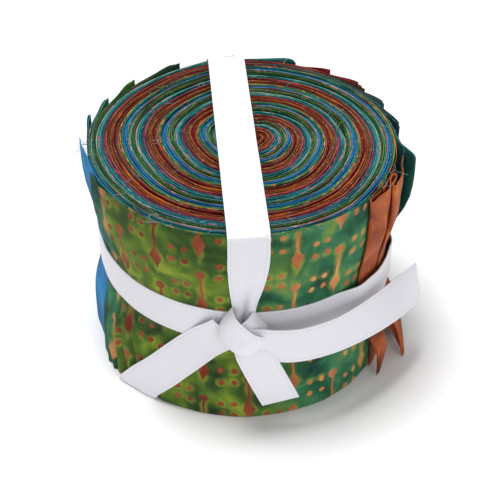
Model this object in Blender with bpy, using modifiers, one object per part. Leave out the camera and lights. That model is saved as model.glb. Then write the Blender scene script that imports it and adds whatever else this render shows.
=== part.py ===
"""A roll of cotton quilting strips tied parcel-wise with a satin ribbon.

Metres, +Z up. The origin is the middle of the roll's flat underside and the front faces -Y.
Angles are degrees seen from above, 270 at the front. The strips wind outwards clockwise.
"""
import math
from collections import namedtuple

import bmesh
import bpy
from mathutils import Vector

MM = 0.001
GAP = 0.3 * MM

# The roll: the strip's width is its height
STRIP_WIDTH = 63.5 * MM
CORE_RADIUS = 41.0 * MM
RIM_ROUND = 1.2 * MM
TURN_PITCH = 10.0 * MM
BODY_SIDES = 64
BODY_ROWS = 12
GROOVES_PER_TURN = 2
GROOVE_WIDTH = 0.7 * MM
TOP_GROOVE_DEPTH = 2.2 * MM
TOP_GROOVE_STEPS = 26
BOTTOM_GROOVE_DEPTH = 1.1 * MM
BOTTOM_GROOVE_STEPS = 20
GROOVE_FROM_RIM = 2.0 * MM
CORE_HOLE = 2.4 * MM

# The cloth that stands for the strips' outer ends
CLOTH = 1.0 * MM
CLOTH_RADIUS = CORE_RADIUS + GAP + CLOTH / 2
END_GAP = 0.6
LIFTED_DEGREES = 14.0
MOST_LIFTED_PART = 0.85
LOOSE_END_ROWS = 8
DEGREES_PER_COLUMN = 6.0

# The satin ribbon
RIBBON_WIDTH = 10.6 * MM
RIBBON = 1.0 * MM
RIBBON_RADIUS = CLOTH_RADIUS + CLOTH / 2 + GAP + RIBBON / 2
RING_HEIGHT = 31.5 * MM
RING_TILT = 1.5 * MM
WAIST_DEPTH = 2.2 * MM
WAIST_HALF_BAND = 7.2 * MM
WAIST_REACH = 9.0 * MM
KNOT_ANGLE = 270.0
KNOT_CENTRE = Vector((0.0, -44.0, 32.4)) * MM
KNOT_SIZE = Vector((10.5, 5.6, 10.0)) * MM
TOP_CLEARANCE = 0.7 * MM
TOP_FRONT = Vector((1.5, -42.0, 0.0)) * MM
TOP_BACK = Vector((-5.5, 41.2, 0.0)) * MM
BACK_TOP_ANGLE = 98.5
BACK_TOP_HEIGHT = 63.0 * MM
UNDER_CLEARANCE = 0.15 * MM
UNDER_BACK_ANGLE = 112.0
UNDER_FRONT_ANGLE = 226.5
STRAP_CHANNEL = RIBBON_WIDTH + 1.6 * MM
CHANNEL_DEPTH = RIBBON + UNDER_CLEARANCE + 2 * GAP
CHANNEL_REACH = 0.1

# A ribbon station: its middle and its width in mm, and the way its width runs
Station = namedtuple("Station", "middle across width")

FRONT_STATIONS = [
    Station((0.0, -44.2, 33.0), (1, 0, 0), 6.0),
    Station((0.4, -43.1, 40.6), (1, 0, 0), 6.2),
    Station((0.7, -43.1, 46.0), (1, 0, 0), 8.4),
    Station((1.2, -43.1, 52.0), (1, 0, 0), 10.2),
    Station((1.5, -43.1, 58.0), (1, 0, 0), 10.6),
    Station((1.5, -43.1, 63.0), (1, 0, 0), 10.6),
]
FREE_END_STATIONS = [
    Station((0.0, -44.6, 31.6), (0.0, 0.0, 1.0), 10.4),
    Station((8.0, -45.6, 29.8), (0.0, 0.05, 1.0), 10.4),
    Station((16.0, -44.2, 29.0), (0.0, 0.1, 1.0), 10.4),
    Station((24.0, -40.2, 28.4), (0.0, 0.2, 1.0), 10.4),
    Station((31.0, -35.0, 28.0), (-0.1, 0.3, 1.0), 10.4),
    Station((37.5, -28.6, 27.2), (-0.22, 0.4, 1.0), 10.4),
    Station((43.5, -21.0, 25.6), (-0.28, 0.45, 1.0), 10.4),
    Station((49.0, -12.8, 24.0), (-0.2, 0.35, 1.0), 10.4),
]
SHORT_END_STATIONS = [
    Station((0.5, -44.8, 31.0), (1.0, 0.0, 0.35), 9.6),
    Station((3.5, -46.4, 25.0), (1.0, 0.0, 0.35), 9.6),
    Station((7.0, -46.0, 17.0), (1.0, 0.0, 0.35), 9.6),
    Station((10.0, -44.8, 9.0), (1.0, 0.0, 0.35), 9.6),
]
# Where the ribbon climbs from under the roll to the knot, as angle and height in mm. Its sections
# there are level, so they are longer than the ribbon is wide
CLIMB = [(227.0, 1.8), (231.0, 5.6), (237.5, 11.0), (246.0, 18.5), (255.0, 26.0), (265.0, 32.0)]
CLIMB_WIDTH = 13.4
CLIMB_CLEARANCE = 0.2 * MM
RIM_SECTION_BACK = 11.6
RIM_SECTION_FRONT = 12.6

# Each loose end: where it starts and stops, how far in mm it stands off at its top and bottom
# corners, how much in mm its top edge stands above the roll, and its colour
LOOSE_ENDS = [
    dict(name="green", start=316.0, stop=214.5, top=0.6, bottom=0.8, rise=-0.4, colour=(0.13, 0.22, 0.03)),
    dict(name="sage", start=214.5, stop=203.0, top=1.0, bottom=1.0, rise=-0.6, colour=(0.06, 0.19, 0.15)),
    dict(name="blue", start=203.0, stop=180.0, top=1.9, bottom=1.6, rise=0.5, colour=(0.0, 0.16, 0.42)),
    dict(name="petrol", start=180.0, stop=166.0, top=2.0, bottom=0.6, rise=1.0, colour=(0.0, 0.17, 0.19)),
    dict(name="mint", start=166.0, stop=152.0, top=2.4, bottom=0.5, rise=0.2, colour=(0.10, 0.33, 0.27)),
    dict(name="moss", start=152.0, stop=118.5, top=2.2, bottom=0.5, rise=0.0, colour=(0.06, 0.14, 0.05)),
    dict(name="teal", start=118.5, stop=70.0, top=1.1, bottom=0.6, rise=0.4, colour=(0.02, 0.22, 0.22)),
    dict(name="crimson", start=70.0, stop=41.0, top=1.0, bottom=0.5, rise=0.3, colour=(0.26, 0.02, 0.03)),
    dict(name="slate", start=41.0, stop=10.0, top=2.3, bottom=0.8, rise=-0.2, colour=(0.05, 0.11, 0.14)),
    dict(name="lagoon", start=10.0, stop=347.0, top=4.2, bottom=2.8, rise=-0.5, colour=(0.0, 0.24, 0.21)),
]

# The copper strip's two pleats, each leg as angle and cloth layers out from the roll
PLEAT_LAYER = CLOTH + GAP
PLEAT_LEGS = [
    (328.0, 0), (318.6, 0), (318.6, 1), (330.6, 1), (335.0, 0), (337.2, 0),
    (337.2, 1), (333.4, 1), (333.4, 2), (341.0, 2), (345.6, 1),
]
PLEAT_BOTTOM = 23.0 * MM
PLEAT_ROWS = 6
TAIL_STEPS = 10

# The two tails that the copper pleats draw out into, in the same form as the ribbon's stations
LEFT_TAIL = [
    Station((33.6, -23.9, 28.0), (0.58, 0.81, 0.0), 8.6),
    Station((34.0, -24.2, 21.5), (0.58, 0.81, 0.0), 9.4),
    Station((37.4, -25.8, 11.0), (0.58, 0.81, 0.0), 6.5),
    Station((40.6, -26.6, 4.0), (0.58, 0.81, 0.0), 3.4),
    Station((41.2, -26.8, 0.6), (0.58, 0.81, 0.0), 2.4),
]
RIGHT_TAIL = [
    Station((39.0, -15.8, 28.0), (0.37, 0.93, 0.0), 5.6),
    Station((39.1, -15.8, 21.5), (0.37, 0.93, 0.0), 4.6),
    Station((43.2, -15.2, 11.0), (0.37, 0.93, 0.0), 3.2),
    Station((47.4, -13.9, 4.0), (0.37, 0.93, 0.0), 2.6),
    Station((48.4, -13.5, 1.6), (0.37, 0.93, 0.0), 2.4),
]

# The loose ends whose lower edge the ribbon passes under
UNDER_STRAP = ("green", "sage", "moss", "teal")

COLOUR_ROLL = (0.05, 0.16, 0.15)
COLOUR_COPPER = (0.32, 0.09, 0.02)
COLOUR_RIBBON = (0.83, 0.82, 0.88)


def clear_scene():
    for thing in list(bpy.data.objects):
        bpy.data.objects.remove(thing, do_unlink=True)


def new_collection(name):
    made = bpy.data.collections.new(name)
    bpy.context.scene.collection.children.link(made)
    return made


def cloth_material(name, colour, roughness):
    made = bpy.data.materials.new(name)
    made.use_nodes = True
    shader = made.node_tree.nodes["Principled BSDF"]
    shader.inputs["Base Color"].default_value = (*colour, 1.0)
    shader.inputs["Roughness"].default_value = roughness
    shader.inputs["Metallic"].default_value = 0.0
    return made


def object_from(bm, name, collection, material=None):
    mesh = bpy.data.meshes.new(name)
    bm.to_mesh(mesh)
    bm.free()
    made = bpy.data.objects.new(name, mesh)
    collection.objects.link(made)
    if material:
        mesh.materials.append(material)
    mesh.shade_smooth()
    mesh.set_sharp_from_angle(angle=math.radians(40))
    return made


def as_cutter(made):
    made.hide_render = True
    made.display_type = "WIRE"
    return made


def add_boolean(target, tool, operation):
    modifier = target.modifiers.new(f"{operation.title()} {tool.name}", "BOOLEAN")
    modifier.operation = operation
    modifier.object = tool


def solidify(made, thickness):
    modifier = made.modifiers.new("Thickness", "SOLIDIFY")
    modifier.thickness = thickness
    modifier.offset = 0.0
    modifier.use_even_offset = True


def smooth_step(value):
    value = min(max(value, 0.0), 1.0)
    return value * value * (3.0 - 2.0 * value)


def waist(z):
    """How far the tied ring draws the cloth in at this height."""
    beyond = max(abs(z - RING_HEIGHT) - WAIST_HALF_BAND, 0.0)
    return WAIST_DEPTH * math.exp(-((beyond / WAIST_REACH) ** 2))


def polar(angle, radius, z):
    turn = math.radians(angle)
    return Vector((radius * math.cos(turn), radius * math.sin(turn), z))


def grid_surface(columns, rows, place):
    """An open sheet of columns by rows faces, each point placed by its share (u, v) of the way across."""
    bm = bmesh.new()
    bmesh.ops.create_grid(bm, x_segments=columns, y_segments=rows, size=0.5)
    for vert in bm.verts:
        vert.co = place(vert.co.x + 0.5, vert.co.y + 0.5)
    bmesh.ops.recalc_face_normals(bm, faces=bm.faces)
    return bm


def along(points, share):
    """The point this share of the way along a smooth curve through equally spaced points."""
    position = share * (len(points) - 1)
    i = min(int(position), len(points) - 2)
    t = position - i
    before, a, b, after = (Vector(points[min(max(i + k, 0), len(points) - 1)]) for k in (-1, 0, 1, 2))
    bend = 2 * before - 5 * a + 4 * b - after
    twist = 3 * a - before - 3 * b + after
    return 0.5 * (2 * a + (b - before) * t + bend * t * t + twist * t ** 3)


def strap(stations, steps):
    """A flat band on a smooth curve through its stations."""
    middles = [station.middle for station in stations]
    directions = [station.across for station in stations]
    widths = [(station.width, 0.0, 0.0) for station in stations]

    def place(u, v):
        aside = along(directions, u).normalized() * along(widths, u).x * (v - 0.5)
        return (along(middles, u) + aside) * MM

    return grid_surface(steps, 1, place)


def roll_profile():
    """The roll's half section from the top's middle down its outer side to the bottom's middle."""
    points = [(0.0, STRIP_WIDTH), (CORE_RADIUS - RIM_ROUND, STRIP_WIDTH)]
    for i in range(BODY_ROWS + 1):
        z = STRIP_WIDTH - RIM_ROUND - i * (STRIP_WIDTH - 2 * RIM_ROUND) / BODY_ROWS
        points.append((CORE_RADIUS - waist(z), z))
    points += [(CORE_RADIUS - RIM_ROUND, 0.0), (0.0, 0.0)]
    return points


def spiral_groove(name, start, face_z, depth, steps_per_turn, collection):
    """A thin wall on a spiral that opens clockwise: it cuts the line between two turns into a flat face."""
    turns = (CORE_RADIUS - GROOVE_FROM_RIM - CORE_HOLE) / TURN_PITCH

    def place(u, v):
        turned = u * turns
        z = face_z + depth * (2 * v - 1)
        return polar(start - 360.0 * turned, CORE_HOLE + TURN_PITCH * turned, z)

    wall = object_from(grid_surface(int(turns * steps_per_turn), 1, place), name, collection)
    solidify(wall, GROOVE_WIDTH)
    return as_cutter(wall)


def make_roll(parts, cutters, channel):
    """The wound strips as one turned solid, with the turns drawn in its end faces."""
    bm = bmesh.new()
    verts = [bm.verts.new((radius, 0.0, z)) for radius, z in roll_profile()]
    for upper, lower in zip(verts, verts[1:]):
        bm.edges.new((upper, lower))
    roll = object_from(bm, "fabric_roll", parts, cloth_material("Rolled cotton", COLOUR_ROLL, 0.9))
    turned = roll.modifiers.new("Turned body", "SCREW")
    turned.steps = BODY_SIDES
    turned.render_steps = BODY_SIDES
    turned.use_merge_vertices = True
    turned.merge_threshold = 0.00001
    for i in range(GROOVES_PER_TURN):
        start = 360.0 * i / GROOVES_PER_TURN
        name = f"top_groove_{i + 1}"
        groove = spiral_groove(name, start, STRIP_WIDTH, TOP_GROOVE_DEPTH, TOP_GROOVE_STEPS, cutters)
        add_boolean(roll, groove, "DIFFERENCE")
    groove = spiral_groove("bottom_groove", 0.0, 0.0, BOTTOM_GROOVE_DEPTH, BOTTOM_GROOVE_STEPS, cutters)
    add_boolean(roll, groove, "DIFFERENCE")
    add_boolean(roll, channel, "DIFFERENCE")


def make_strap_channel(cutters):
    """The shallow way through the roll's underside for the ribbon that passes under it."""

    def place(u, v):
        share = -CHANNEL_REACH + u * (1 + 2 * CHANNEL_REACH)
        return under_strap_point(share, (v - 0.5) * STRAP_CHANNEL, 0.0)

    channel = as_cutter(object_from(grid_surface(1, 1, place), "strap_channel", cutters))
    solidify(channel, 2 * CHANNEL_DEPTH)
    return channel


def make_loose_end(end, parts, channel):
    """One strip's outer end: it lies on the roll and lifts to its free edge, but is held at the ring."""
    span = end["start"] - end["stop"]
    span += 360.0 if span < 0 else 0.0
    lifted_part = min(MOST_LIFTED_PART, LIFTED_DEGREES / span)

    def place(u, v):
        angle = end["start"] - END_GAP - (span - END_GAP) * u
        z = v * (STRIP_WIDTH + end["rise"] * MM)
        lift = smooth_step((u - 1 + lifted_part) / lifted_part) ** 2
        stand_off = (end["bottom"] + (end["top"] - end["bottom"]) * v) * MM * lift
        held = waist(z) / WAIST_DEPTH
        return polar(angle, CLOTH_RADIUS - waist(z) + stand_off * (1 - held), z)

    columns = max(6, round(span / DEGREES_PER_COLUMN))
    material = cloth_material(f"Cotton {end['name']}", end["colour"], 0.9)
    bm = grid_surface(columns, LOOSE_END_ROWS, place)
    sheet = object_from(bm, f"loose_end_{end['name']}", parts, material)
    solidify(sheet, CLOTH)
    if end["name"] in UNDER_STRAP:
        add_boolean(sheet, channel, "DIFFERENCE")


def pleat_path():
    """The pleats in plan, as (angle, layers out from the roll): straight legs joined by round folds."""
    fold_reach = math.degrees(PLEAT_LAYER / 2 / CLOTH_RADIUS)
    path = []
    came_from = PLEAT_LEGS[0][0]
    for (angle, layer), (next_angle, next_layer) in zip(PLEAT_LEGS, PLEAT_LEGS[1:]):
        path.append((angle, layer))
        if angle == next_angle:
            outward = fold_reach if came_from < angle else -fold_reach
            for swing in (math.pi / 4, math.pi / 2, 3 * math.pi / 4):
                path.append((angle + outward * math.sin(swing), layer + (1 - math.cos(swing)) / 2))
        else:
            for share in (1 / 3, 2 / 3):
                step = (next_layer - layer) * smooth_step(share)
                path.append((angle + (next_angle - angle) * share, layer + step))
        came_from = angle
    path.append(PLEAT_LEGS[-1])
    return path


def make_copper_end(parts, cutters):
    """The outermost strip's slack, folded in two upright pleats that end in two drawn-out tails."""
    path = pleat_path()

    def place(u, v):
        angle, layer = path[round(u * (len(path) - 1))]
        z = PLEAT_BOTTOM + v * (STRIP_WIDTH - PLEAT_BOTTOM)
        return polar(angle, CLOTH_RADIUS - waist(z) + layer * PLEAT_LAYER, z)

    material = cloth_material("Cotton copper", COLOUR_COPPER, 0.9)
    bm = grid_surface(len(path) - 1, PLEAT_ROWS, place)
    pleats = object_from(bm, "loose_end_copper", parts, material)
    solidify(pleats, CLOTH)
    for name, stations in (("left_tail", LEFT_TAIL), ("right_tail", RIGHT_TAIL)):
        tail = object_from(strap(stations, TAIL_STEPS), name, cutters)
        solidify(tail, CLOTH)
        add_boolean(pleats, as_cutter(tail), "UNION")


def under_strap_point(share, aside, z):
    """A point under the roll, this share of the way from the back rim to the front and this far aside."""
    start = polar(UNDER_BACK_ANGLE, RIBBON_RADIUS, z)
    run = polar(UNDER_FRONT_ANGLE, RIBBON_RADIUS, z) - start
    side = Vector((-run.y, run.x, 0.0)).normalized()
    return start + run * share + side * aside


def level_station(angle, radius, z, width):
    """A station on the roll's side with a level section, from lengths in metres and its width in mm."""
    return Station(polar(angle, radius, z) / MM, polar(angle - 90.0, 1.0, 0.0), width)


def over_top_stations():
    """The ribbon across the roll's top face, from the front to the back."""
    z = STRIP_WIDTH + TOP_CLEARANCE + RIBBON / 2
    across = (TOP_FRONT - TOP_BACK).cross(Vector((0.0, 0.0, -1.0))).normalized()
    shares = (0.0, 0.2, 0.4, 0.6, 0.8, 1.0)
    middles = [TOP_FRONT.lerp(TOP_BACK, share) + Vector((0.0, 0.0, z)) for share in shares]
    return [Station(middle / MM, across, RIBBON_WIDTH / MM) for middle in middles]


def down_back_stations():
    """The ribbon down the roll's back, drawn in with the cloth under the ring."""
    stations = []
    for height in (63.0, 57.0, 45.0, 33.0, 21.0, 9.0, 2.0):
        z = height * MM
        angle = BACK_TOP_ANGLE + (UNDER_BACK_ANGLE - BACK_TOP_ANGLE) * (1 - z / BACK_TOP_HEIGHT)
        stations.append(level_station(angle, RIBBON_RADIUS - waist(z), z, RIBBON_WIDTH / MM))
    return stations


def under_stations():
    """The ribbon under the roll, from the back rim to the front left."""
    z = RIBBON / 2 + UNDER_CLEARANCE
    back_rim = polar(UNDER_BACK_ANGLE - 90.0, 1.0, 0.0)
    front_rim = polar(UNDER_FRONT_ANGLE + 90.0, 1.0, 0.0)
    back = Station(under_strap_point(0.02, 0.0, z) / MM, back_rim, RIM_SECTION_BACK)
    front = Station(under_strap_point(0.98, 0.0, z) / MM, front_rim, RIM_SECTION_FRONT)
    across = (under_strap_point(0.5, RIBBON_WIDTH, z) - under_strap_point(0.5, 0.0, z)).normalized()
    middles = [under_strap_point(share, 0.0, z) for share in (0.2, 0.4, 0.6, 0.8)]
    return [back] + [Station(middle / MM, across, RIBBON_WIDTH / MM) for middle in middles] + [front]


def climb_stations():
    """The ribbon slanting up the front left from the lower rim to the knot."""
    radius = RIBBON_RADIUS + CLIMB_CLEARANCE
    return [
        Station(polar(angle, radius, height * MM) / MM, polar(angle + 90.0, 1.0, 0.0), CLIMB_WIDTH)
        for angle, height in CLIMB
    ]


def ring_stations():
    """The ribbon round the roll's middle, standing off over the copper pleats."""
    stations = []
    for i in range(37):
        angle = (KNOT_ANGLE - 10.0 * i) % 360.0
        z = RING_HEIGHT + RING_TILT * math.cos(math.radians(angle - 190.0))
        over_pleats = smooth_step((angle - 300.0) / 15.0) * smooth_step((360.0 - angle) / 13.0)
        radius = RIBBON_RADIUS - waist(z) + over_pleats * 2 * PLEAT_LAYER
        stations.append(Station(polar(angle, radius, z) / MM, (0, 0, 1), RIBBON_WIDTH / MM))
    return stations


def make_knot(collection):
    bm = bmesh.new()
    bmesh.ops.create_cube(bm, size=1.0)
    for vert in bm.verts:
        vert.co = KNOT_CENTRE + vert.co * KNOT_SIZE
    knot = object_from(bm, "knot", collection)
    rounded = knot.modifiers.new("Rounded", "SUBSURF")
    rounded.levels = 2
    rounded.render_levels = 2
    return as_cutter(knot)


def strap_object(name, stations, steps, collection, material=None):
    band = object_from(strap(stations, steps), name, collection, material)
    solidify(band, RIBBON)
    return band


def make_ribbon(parts, cutters):
    material = cloth_material("White satin", COLOUR_RIBBON, 0.4)
    parcel = (
        FRONT_STATIONS + over_top_stations() + down_back_stations() + under_stations() + climb_stations()
    )
    tie = strap_object("ribbon_tie", parcel, 2 * (len(parcel) - 1), parts, material)
    add_boolean(tie, make_knot(cutters), "UNION")
    for name, stations in (
        ("ring", ring_stations()),
        ("free_end", FREE_END_STATIONS),
        ("short_end", SHORT_END_STATIONS),
    ):
        steps = 2 * (len(stations) - 1)
        add_boolean(tie, as_cutter(strap_object(name, stations, steps, cutters)), "UNION")


def main():
    clear_scene()
    parts = new_collection("Fabric strip roll")
    cutters = new_collection("Cutters and joined pieces")
    channel = make_strap_channel(cutters)
    make_roll(parts, cutters, channel)
    for end in LOOSE_ENDS:
        make_loose_end(end, parts, channel)
    make_copper_end(parts, cutters)
    make_ribbon(parts, cutters)


main()
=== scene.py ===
"""The looks of a roll of cotton quilting strips tied with a satin ribbon.

Lengths are in millimetres until a mesh is made. Angles are degrees seen from above, 270 at the
front. Each strip is folded once across its middle and is two neighbouring layers of the wound stack,
with its fold in the core. The layers are numbered outwards, and they wind outwards clockwise.
"""
import math

import bpy
import numpy as np
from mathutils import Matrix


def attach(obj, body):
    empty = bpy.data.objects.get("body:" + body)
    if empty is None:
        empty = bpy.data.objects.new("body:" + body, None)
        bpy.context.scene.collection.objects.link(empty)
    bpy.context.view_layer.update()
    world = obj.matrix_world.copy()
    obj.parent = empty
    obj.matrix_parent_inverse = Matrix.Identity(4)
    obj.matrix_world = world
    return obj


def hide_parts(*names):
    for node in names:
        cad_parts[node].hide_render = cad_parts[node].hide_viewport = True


MM = 0.001

# The wound stack
STRIP_WIDTH = 63.5
STRIP_LENGTH = 1117.6
CLOTH = 0.17
CORE_RADIUS = 1.3
COIL_RADIUS = 42.25
LAYERS = 40
WINDINGS = 4.005
LAST_ANGLE = 317.0
PAIR_CLOSER = 0.1
CORE_SHIFT = (3.6, 1.2)
SEED = 7

# The tied ring's waist
RING_HEIGHT = 31.5
RING_TILT = 1.5
RING_HIGH_ANGLE = 190.0
WAIST_DEPTH = 1.9
WAIST_HALF_BAND = 5.2
WAIST_REACH = 10.0

# Gaps in the coil: middle angle, half width in degrees, share of the radius, half size
GAPS = [
    (17.0, 20.0, 0.605, 0.42),
    (29.0, 14.0, 0.88, 0.14),
    (205.0, 30.0, 0.955, 0.12),
    (330.0, 16.0, 0.975, 0.2),
]
GAP_FADE = 0.07

# How unevenly the coil is wound, and how far a layer drifts and rises along its way
RIM_WOBBLE = 0.35
COIL_WOBBLE = 0.3
PAIR_DRIFT = 0.06
LAYER_DRIFT = 0.02
SLOW_RISE = 0.16
QUICK_RISE = 0.12
SETTLED = 0.15
END_REACH = 16.0

# The gathers in the cloth at the front left, under the ring, and the soft ripples elsewhere
GATHER_ANGLE = 219.0
GATHER_HALF = 24.0
GATHER_TOP = 27.0
GATHER_DEPTH = 0.55
RIPPLE_DEPTH = 0.09

# Heights at which a layer has points, and those that its hidden parts keep
ROWS = [0.0, 2.0, 4.5, 7.0, 10.0, 14.0, 17.0, 20.0, 22.5, 25.0, 27.0, 29.0, 31.5, 34.0,
        36.0, 38.0, 40.5, 43.5, 47.0, 51.0, 55.0, 58.5, 61.0, 62.7, 63.5]
COVERED_ROWS = [0, 3, 5, 7, 9, 12, 15, 16, 18, 20, 24]
INNER_ROWS = [0, 12, 24]
SHOWN_STEP = 1.2
COVERED_STEP = 3.0
INNER_STEP = 4.5
SHOWN_MARGIN = 10.0

# The satin ribbon
RIBBON = 0.28
RIBBON_WIDTH = 10.6
RIBBON_CLEAR = 0.22
RIBBON_POINTS = 13
RING_POINTS = 9
UNDER_BACK_ANGLE = 112.0
UNDER_FRONT_ANGLE = 226.5
UNDER_ROOM = 0.55

# The strips, the outermost first: name, where its outer and inner layers end, slot, and how far
# they stand off and rise at that end
STRIP_ROWS = [
    ("green", (214.5, 207.5), "cotton_green", (0.5, 0.9), (-0.2, -0.3)),
    ("sage", (202.0, 200.5), "cotton_green", (0.7, 0.7), (-0.2, -0.3)),
    ("blue", (180.0, 180.6), "cotton_blue", (1.5, 1.2), (0.4, 0.2)),
    ("petrol", (166.0, 165.0), "cotton_teal", (1.3, 0.4), (0.8, 0.5)),
    ("salmon", (153.4, 153.0), "cotton_teal", (1.2, 0.4), (0.0, 0.0)),
    ("mint", (152.0, 139.0), "cotton_teal", (1.3, 0.4), (0.3, 0.2)),
    ("moss", (137.0, 119.0), "cotton_green", (1.4, 0.5), (0.2, 0.1)),
    ("leaf", (118.0, 116.0), "cotton_green", (1.3, 0.5), (0.1, 0.1)),
    ("pale", (96.0, 95.0), "cotton_teal", (0.4, 0.3), (0.2, 0.2)),
    ("foam", (94.0, 72.0), "cotton_teal", (0.5, 0.3), (0.4, 0.3)),
    ("teal", (71.0, 70.0), "cotton_teal", (0.7, 0.4), (0.4, 0.3)),
    ("pine", (69.5, 69.0), "cotton_teal", (0.4, 0.3), (0.1, 0.0)),
    ("crimson", (54.0, 40.5), "cotton_crimson", (0.6, 0.4), (0.5, 0.3)),
    ("rose", (40.0, 38.0), "cotton_crimson", (0.5, 0.3), (0.1, 0.0)),
    ("olive", (36.0, 25.0), "cotton_mixed", (0.6, 0.3), (0.1, 0.1)),
    ("slate", (24.0, 11.0), "cotton_mixed", (0.9, 0.4), (0.0, -0.2)),
    ("amber", (10.5, 9.0), "cotton_mixed", (1.2, 0.6), (-0.1, -0.2)),
    ("garnet", (8.0, 352.0), "cotton_crimson", (1.3, 0.6), (-0.3, -0.2)),
    ("lagoon", (349.0, 348.0), "cotton_teal", (4.7, 4.4), (-0.4, -0.4)),
    ("copper", (328.0, 346.0), "cotton_copper", (0.3, 0.2), (0.1, 0.0)),
]
STRIPS = [dict(zip(("name", "ends", "slot", "stand", "rise"), row)) for row in STRIP_ROWS]


def smooth(value):
    value = np.clip(value, 0.0, 1.0)
    return value * value * (3.0 - 2.0 * value)


def wander(seed, x, reach=60.0, parts=6):
    """A smooth seeded wave of about unit size that changes over this reach of x."""
    source = np.random.RandomState(seed)
    total = np.zeros_like(np.asarray(x, float))
    for _ in range(parts):
        pace = 2 * math.pi / (reach * source.uniform(0.6, 2.2))
        total += np.sin(pace * np.asarray(x) + source.uniform(0, 2 * math.pi)) * source.uniform(0.5, 1.0)
    return total / math.sqrt(parts)


def round_wander(seed, angle, most=7, parts=5):
    """The same, closing on itself after 360 degrees."""
    source = np.random.RandomState(seed)
    total = np.zeros_like(np.asarray(angle, float))
    for _ in range(parts):
        waves = source.randint(2, most)
        total += np.sin(np.radians(waves * np.asarray(angle)) + source.uniform(0, 2 * math.pi))
    return total / math.sqrt(parts)


def unwound(angle):
    """How far the stack is wound, in turns after its first, where a layer's outer end is at this angle."""
    back = (angle - LAST_ANGLE) % 360.0
    return WINDINGS - back / 360.0


def layers_under(angle):
    """How many layers lie inside the coil's rim at this angle, smoothed past each strip's end."""
    on = (LAST_ANGLE - angle) % 360.0 / 360.0
    rising = LAYERS * (WINDINGS - 1 + on) + LAYERS - 1
    back = (angle - LAST_ANGLE) % 360.0 / 360.0
    first_end = (STRIPS[0]["ends"][0] - LAST_ANGLE) % 360.0 / 360.0
    falling = LAYERS * (WINDINGS - back) + (LAYERS - 1) * back / first_end
    return np.where(on < 1 - first_end, rising, falling)


def ring_height(angle):
    return RING_HEIGHT + RING_TILT * np.cos(np.radians(angle - RING_HIGH_ANGLE))


def waist(z, angle):
    """How far the tied ring draws the outer cloth in."""
    beyond = np.maximum(np.abs(z - ring_height(angle)) - WAIST_HALF_BAND, 0.0)
    return WAIST_DEPTH * np.exp(-((beyond / WAIST_REACH) ** 2))


def strap_room(x, y):
    """How much the strips' lower edges are lifted here by the ribbon that passes under the roll."""
    start = np.array(on_rim(UNDER_BACK_ANGLE, COIL_RADIUS))
    run = np.array(on_rim(UNDER_FRONT_ANGLE, COIL_RADIUS)) - start
    run = run / np.linalg.norm(run)
    aside = np.abs((x - start[0]) * run[1] - (y - start[1]) * run[0])
    return UNDER_ROOM * smooth((RIBBON_WIDTH / 2 + 3.0 - aside) / 2.4)


def on_rim(angle, radius):
    turn = np.radians(angle)
    return radius * np.cos(turn), radius * np.sin(turn)


def coil_place(order, angle, z, shown=0.0):
    """The middle of the cloth at this order from the core, this angle and this height."""
    under = layers_under(angle)
    share = (order + 0.5) / (under + 1.0)
    rim = COIL_RADIUS + RIM_WOBBLE * round_wander(SEED, angle)
    radius = CORE_RADIUS + (rim - CORE_RADIUS) * share
    outwards = np.clip(share, 0.0, 1.1)
    radius = radius + COIL_WOBBLE * round_wander(SEED + 1, angle) * outwards * (1 - outwards) * 4
    radius = radius + parted(share, angle)
    return radius + shown * ripples(z, angle) - waist(z, angle) * outwards ** 3


def parted(share, angle):
    """The short gaps where the coil's layers stand apart."""
    total = 0.0
    for middle, width, place, size in GAPS:
        around = (angle - middle + 180.0) % 360.0 - 180.0
        here = smooth(1.0 - np.abs(around) / width)
        beyond = share - place
        total = total + size * here * np.sign(beyond) * np.exp(-np.abs(beyond) / GAP_FADE)
    return total


def ripples(z, angle):
    """Soft upright ripples in the outer cloth, deepest where it is gathered under the ring."""
    around = (angle - GATHER_ANGLE + 180.0) % 360.0 - 180.0
    gathered = smooth(1.0 - np.abs(around) / GATHER_HALF) * smooth((GATHER_TOP - z) / 8.0)
    lean = angle + 0.3 * z
    folds = np.sin(np.radians(lean * 58.0)) + 0.6 * np.sin(np.radians(lean * 97.0 + 40.0)) + 1.2
    soft = np.sin(np.radians(angle * 11.0 + 3.0 * z)) + 1.4
    soft = soft + 0.7 * np.sin(np.radians(angle * 23.0 - 4.0 * z))
    quiet = smooth(np.abs(z - RING_HEIGHT) / 12.0) * smooth((STRIP_WIDTH - z) / 8.0 + 0.2)
    return GATHER_DEPTH * gathered * folds + RIPPLE_DEPTH * soft * quiet


class Layer:
    """One layer of a strip, from the core to its outer end."""

    def __init__(self, number, strip, which):
        self.number = number
        self.strip = strip
        self.end = strip["ends"][which]
        self.windings = unwound(self.end)
        self.stand = strip["stand"]
        self.rise = strip["rise"][which]
        self.seed = 100 + number
        source = np.random.RandomState(900 + number // 2)
        self.sunk = 0.0 if number >= LAYERS - 4 else source.uniform(-0.75, 0.1)
        self.raised_foot = source.uniform(0.0, 0.5)
        self.shown = self.windings


def all_layers():
    """The layers outwards, each with the windings from which it can be seen."""
    layers = []
    for i, strip in enumerate(STRIPS):
        number = LAYERS - 1 - 2 * i
        layers.append(Layer(number, strip, 0))
        layers.append(Layer(number - 1, strip, 1))
    most = max(layer.windings for layer in layers)
    for layer in layers:
        outside = [other for other in layers if other.number > layer.number]
        before = [layer.windings - other.windings for other in outside if other.windings < layer.windings]
        span = min(before) if before else layer.windings - (most - 1)
        layer.shown = layer.windings - max(span, 0.0) - SHOWN_MARGIN / 360.0
    return sorted(layers, key=lambda layer: layer.number)


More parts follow.
